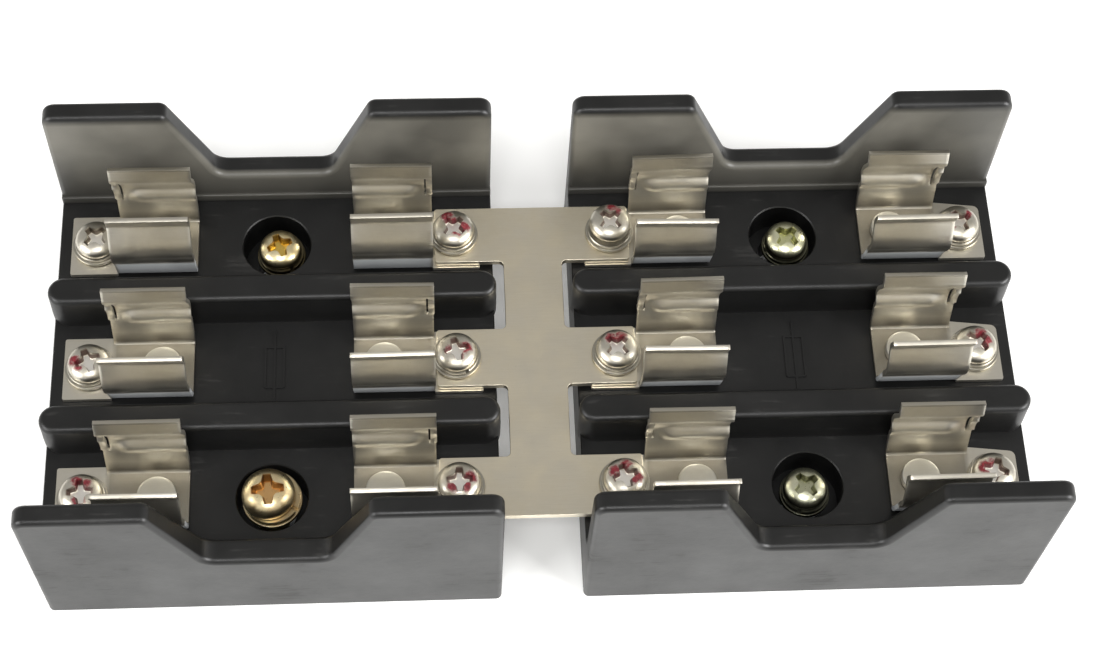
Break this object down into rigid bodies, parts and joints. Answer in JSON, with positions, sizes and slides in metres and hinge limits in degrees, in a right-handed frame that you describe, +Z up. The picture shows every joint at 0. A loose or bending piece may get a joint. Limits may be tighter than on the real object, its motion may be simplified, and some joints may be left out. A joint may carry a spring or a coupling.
{
  "type": "cartridge fuse holder",
  "caption": "Linked pair of multi-pole open cartridge fuse holders: moulded bases with walls and barriers, plated spring clips, screw terminals and a common link plate.",
  "frame": {"origin": "centre of the underside of the assembly, midway between the two bases", "axes": "+X along the fuses to the right hand base, +Y from the front wall to the back wall, +Z up from the mounting surface"},
  "size_m": [0.1572, 0.0724, 0.0363],
  "materials": {
    "black_phenolic": "moulded black phenolic, satin",
    "nickel_plate": "nickel plated brass strip, satin with fine rolling lines",
    "nickel_rivet": "nickel plated brass, pressed",
    "plated_steel": "nickel plated steel, bright, some with red inspection paint",
    "yellow_zinc": "yellow chromated zinc plate"
  },
  "bodies": {
    "root": {"base_left": "black_phenolic", "base_right": "black_phenolic", "link_plate": "nickel_plate", "clip_left_back_outer": "nickel_plate", "clip_rivet_left_back_outer": "nickel_rivet", "clip_left_back_inner": "nickel_plate", "clip_rivet_left_back_inner": "nickel_rivet", "clip_left_middle_outer": "nickel_plate", "clip_rivet_left_middle_outer": "nickel_rivet", "clip_left_middle_inner": "nickel_plate", "clip_rivet_left_middle_inner": "nickel_rivet", "clip_left_front_outer": "nickel_plate", "clip_rivet_left_front_outer": "nickel_rivet", "clip_left_front_inner": "nickel_plate", "clip_rivet_left_front_inner": "nickel_rivet", "clip_right_back_outer": "nickel_plate", "clip_rivet_right_back_outer": "nickel_rivet", "clip_right_back_inner": "nickel_plate", "clip_rivet_right_back_inner": "nickel_rivet", "clip_right_middle_outer": "nickel_plate", "clip_rivet_right_middle_outer": "nickel_rivet", "clip_right_middle_inner": "nickel_plate", "clip_rivet_right_middle_inner": "nickel_rivet", "clip_right_front_outer": "nickel_plate", "clip_rivet_right_front_outer": "nickel_rivet", "clip_right_front_inner": "nickel_plate", "clip_rivet_right_front_inner": "nickel_rivet"},
    "terminal_lift_left_back_outer": {"terminal_washers_left_back_outer": "plated_steel"},
    "terminal_turn_left_back_outer": {"terminal_screw_left_back_outer": "plated_steel"},
    "terminal_lift_left_back_inner": {"terminal_washers_left_back_inner": "plated_steel"},
    "terminal_turn_left_back_inner": {"terminal_screw_left_back_inner": "plated_steel"},
    "terminal_lift_left_middle_outer": {"terminal_washers_left_middle_outer": "plated_steel"},
    "terminal_turn_left_middle_outer": {"terminal_screw_left_middle_outer": "plated_steel"},
    "terminal_lift_left_middle_inner": {"terminal_washers_left_middle_inner": "plated_steel"},
    "terminal_turn_left_middle_inner": {"terminal_screw_left_middle_inner": "plated_steel"},
    "terminal_lift_left_front_outer": {"terminal_washers_left_front_outer": "plated_steel"},
    "terminal_turn_left_front_outer": {"terminal_screw_left_front_outer": "plated_steel"},
    "terminal_lift_left_front_inner": {"terminal_washers_left_front_inner": "plated_steel"},
    "terminal_turn_left_front_inner": {"terminal_screw_left_front_inner": "plated_steel"},
    "terminal_lift_right_back_outer": {"terminal_washers_right_back_outer": "plated_steel"},
    "terminal_turn_right_back_outer": {"terminal_screw_right_back_outer": "plated_steel"},
    "terminal_lift_right_back_inner": {"terminal_washers_right_back_inner": "plated_steel"},
    "terminal_turn_right_back_inner": {"terminal_screw_right_back_inner": "plated_steel"},
    "terminal_lift_right_middle_outer": {"terminal_washers_right_middle_outer": "plated_steel"},
    "terminal_turn_right_middle_outer": {"terminal_screw_right_middle_outer": "plated_steel"},
    "terminal_lift_right_middle_inner": {"terminal_washers_right_middle_inner": "plated_steel"},
    "terminal_turn_right_middle_inner": {"terminal_screw_right_middle_inner": "plated_steel"},
    "terminal_lift_right_front_outer": {"terminal_washers_right_front_outer": "plated_steel"},
    "terminal_turn_right_front_outer": {"terminal_screw_right_front_outer": "plated_steel"},
    "terminal_lift_right_front_inner": {"terminal_washers_right_front_inner": "plated_steel"},
    "terminal_turn_right_front_inner": {"terminal_screw_right_front_inner": "plated_steel"},
    "mounting_lift_left_back": {"mounting_washers_left_back": "yellow_zinc"},
    "mounting_turn_left_back": {"mounting_screw_left_back": "yellow_zinc"},
    "mounting_lift_left_front": {"mounting_washers_left_front": "yellow_zinc"},
    "mounting_turn_left_front": {"mounting_screw_left_front": "yellow_zinc"},
    "mounting_lift_right_back": {"mounting_washers_right_back": "yellow_zinc"},
    "mounting_turn_right_back": {"mounting_screw_right_back": "yellow_zinc"},
    "mounting_lift_right_front": {"mounting_washers_right_front": "yellow_zinc"},
    "mounting_turn_right_front": {"mounting_screw_right_front": "yellow_zinc"}
  },
  "joints": [
    {"name": "lift_left_back_outer", "type": "slide", "parent": "root", "child": "terminal_lift_left_back_outer", "axis": [0, 0, 1], "range_m": [0, 0.0056]},
    {"name": "turn_left_back_outer", "type": "hinge", "parent": "terminal_lift_left_back_outer", "child": "terminal_turn_left_back_outer", "pos_m": [-0.07175, 0.0227, 0.01505], "axis": [0, 0, 1], "range_deg": [0, 2880]},
    {"name": "lift_left_back_inner", "type": "slide", "parent": "root", "child": "terminal_lift_left_back_inner", "axis": [0, 0, 1], "range_m": [0, 0.0042]},
    {"name": "turn_left_back_inner", "type": "hinge", "parent": "terminal_lift_left_back_inner", "child": "terminal_turn_left_back_inner", "pos_m": [-0.01295, 0.0227, 0.01505], "axis": [0, 0, 1], "range_deg": [0, 2160]},
    {"name": "lift_left_middle_outer", "type": "slide", "parent": "root", "child": "terminal_lift_left_middle_outer", "axis": [0, 0, 1], "range_m": [0, 0.0056]},
    {"name": "turn_left_middle_outer", "type": "hinge", "parent": "terminal_lift_left_middle_outer", "child": "terminal_turn_left_middle_outer", "pos_m": [-0.07175, 0, 0.01505], "axis": [0, 0, 1], "range_deg": [0, 2880]},
    {"name": "lift_left_middle_inner", "type": "slide", "parent": "root", "child": "terminal_lift_left_middle_inner", "axis": [0, 0, 1], "range_m": [0, 0.0042]},
    {"name": "turn_left_middle_inner", "type": "hinge", "parent": "terminal_lift_left_middle_inner", "child": "terminal_turn_left_middle_inner", "pos_m": [-0.01295, 0, 0.01505], "axis": [0, 0, 1], "range_deg": [0, 2160]},
    {"name": "lift_left_front_outer", "type": "slide", "parent": "root", "child": "terminal_lift_left_front_outer", "axis": [0, 0, 1], "range_m": [0, 0.0056]},
    {"name": "turn_left_front_outer", "type": "hinge", "parent": "terminal_lift_left_front_outer", "child": "terminal_turn_left_front_outer", "pos_m": [-0.07175, -0.0227, 0.01505], "axis": [0, 0, 1], "range_deg": [0, 2880]},
    {"name": "lift_left_front_inner", "type": "slide", "parent": "root", "child": "terminal_lift_left_front_inner", "axis": [0, 0, 1], "range_m": [0, 0.0042]},
    {"name": "turn_left_front_inner", "type": "hinge", "parent": "terminal_lift_left_front_inner", "child": "terminal_turn_left_front_inner", "pos_m": [-0.01295, -0.0227, 0.01505], "axis": [0, 0, 1], "range_deg": [0, 2160]},
    {"name": "lift_right_back_outer", "type": "slide", "parent": "root", "child": "terminal_lift_right_back_outer", "axis": [0, 0, 1], "range_m": [0, 0.0056]},
    {"name": "turn_right_back_outer", "type": "hinge", "parent": "terminal_lift_right_back_outer", "child": "terminal_turn_right_back_outer", "pos_m": [0.07175, 0.0227, 0.01505], "axis": [0, 0, 1], "range_deg": [0, 2880]},
    {"name": "lift_right_back_inner", "type": "slide", "parent": "root", "child": "terminal_lift_right_back_inner", "axis": [0, 0, 1], "range_m": [0, 0.0028]},
    {"name": "turn_right_back_inner", "type": "hinge", "parent": "terminal_lift_right_back_inner", "child": "terminal_turn_right_back_inner", "pos_m": [0.01295, 0.0227, 0.01505], "axis": [0, 0, 1], "range_deg": [0, 1440]},
    {"name": "lift_right_middle_outer", "type": "slide", "parent": "root", "child": "terminal_lift_right_middle_outer", "axis": [0, 0, 1], "range_m": [0, 0.0056]},
    {"name": "turn_right_middle_outer", "type": "hinge", "parent": "terminal_lift_right_middle_outer", "child": "terminal_turn_right_middle_outer", "pos_m": [0.07175, 0, 0.01505], "axis": [0, 0, 1], "range_deg": [0, 2880]},
    {"name": "lift_right_middle_inner", "type": "slide", "parent": "root", "child": "terminal_lift_right_middle_inner", "axis": [0, 0, 1], "range_m": [0, 0.0042]},
    {"name": "turn_right_middle_inner", "type": "hinge", "parent": "terminal_lift_right_middle_inner", "child": "terminal_turn_right_middle_inner", "pos_m": [0.01295, 0, 0.01505], "axis": [0, 0, 1], "range_deg": [0, 2160]},
    {"name": "lift_right_front_outer", "type": "slide", "parent": "root", "child": "terminal_lift_right_front_outer", "axis": [0, 0, 1], "range_m": [0, 0.0056]},
    {"name": "turn_right_front_outer", "type": "hinge", "parent": "terminal_lift_right_front_outer", "child": "terminal_turn_right_front_outer", "pos_m": [0.07175, -0.0227, 0.01505], "axis": [0, 0, 1], "range_deg": [0, 2880]},
    {"name": "lift_right_front_inner", "type": "slide", "parent": "root", "child": "terminal_lift_right_front_inner", "axis": [0, 0, 1], "range_m": [0, 0.0042]},
    {"name": "turn_right_front_inner", "type": "hinge", "parent": "terminal_lift_right_front_inner", "child": "terminal_turn_right_front_inner", "pos_m": [0.01295, -0.0227, 0.01505], "axis": [0, 0, 1], "range_deg": [0, 2160]},
    {"name": "mounting_lift_left_back", "type": "slide", "parent": "root", "child": "mounting_lift_left_back", "axis": [0, 0, 1], "range_m": [0, 0.013]},
    {"name": "mounting_turn_left_back", "type": "hinge", "parent": "mounting_lift_left_back", "child": "mounting_turn_left_back", "pos_m": [-0.04175, 0.0218, 0.0122], "axis": [0, 0, 1], "continuous": true},
    {"name": "mounting_lift_left_front", "type": "slide", "parent": "root", "child": "mounting_lift_left_front", "axis": [0, 0, 1], "range_m": [0, 0.013]},
    {"name": "mounting_turn_left_front", "type": "hinge", "parent": "mounting_lift_left_front", "child": "mounting_turn_left_front", "pos_m": [-0.0428, -0.02305, 0.0122], "axis": [0, 0, 1], "continuous": true},
    {"name": "mounting_lift_right_back", "type": "slide", "parent": "root", "child": "mounting_lift_right_back", "axis": [0, 0, 1], "range_m": [0, 0.013]},
    {"name": "mounting_turn_right_back", "type": "hinge", "parent": "mounting_lift_right_back", "child": "mounting_turn_right_back", "pos_m": [0.04285, 0.0217, 0.0122], "axis": [0, 0, 1], "continuous": true},
    {"name": "mounting_lift_right_front", "type": "slide", "parent": "root", "child": "mounting_lift_right_front", "axis": [0, 0, 1], "range_m": [0, 0.013]},
    {"name": "mounting_turn_right_front", "type": "hinge", "parent": "mounting_lift_right_front", "child": "mounting_turn_right_front", "pos_m": [0.04185, -0.0234, 0.0122], "axis": [0, 0, 1], "continuous": true}
  ],
  "couplings": [
    {"joint": "turn_left_back_outer", "follows": "lift_left_back_outer", "rad_per_m": 8976},
    {"joint": "turn_left_back_inner", "follows": "lift_left_back_inner", "rad_per_m": 8976},
    {"joint": "turn_left_middle_outer", "follows": "lift_left_middle_outer", "rad_per_m": 8976},
    {"joint": "turn_left_middle_inner", "follows": "lift_left_middle_inner", "rad_per_m": 8976},
    {"joint": "turn_left_front_outer", "follows": "lift_left_front_outer", "rad_per_m": 8976},
    {"joint": "turn_left_front_inner", "follows": "lift_left_front_inner", "rad_per_m": 8976},
    {"joint": "turn_right_back_outer", "follows": "lift_right_back_outer", "rad_per_m": 8976},
    {"joint": "turn_right_back_inner", "follows": "lift_right_back_inner", "rad_per_m": 8976},
    {"joint": "turn_right_middle_outer", "follows": "lift_right_middle_outer", "rad_per_m": 8976},
    {"joint": "turn_right_middle_inner", "follows": "lift_right_middle_inner", "rad_per_m": 8976},
    {"joint": "turn_right_front_outer", "follows": "lift_right_front_outer", "rad_per_m": 8976},
    {"joint": "turn_right_front_inner", "follows": "lift_right_front_inner", "rad_per_m": 8976}
  ]
}
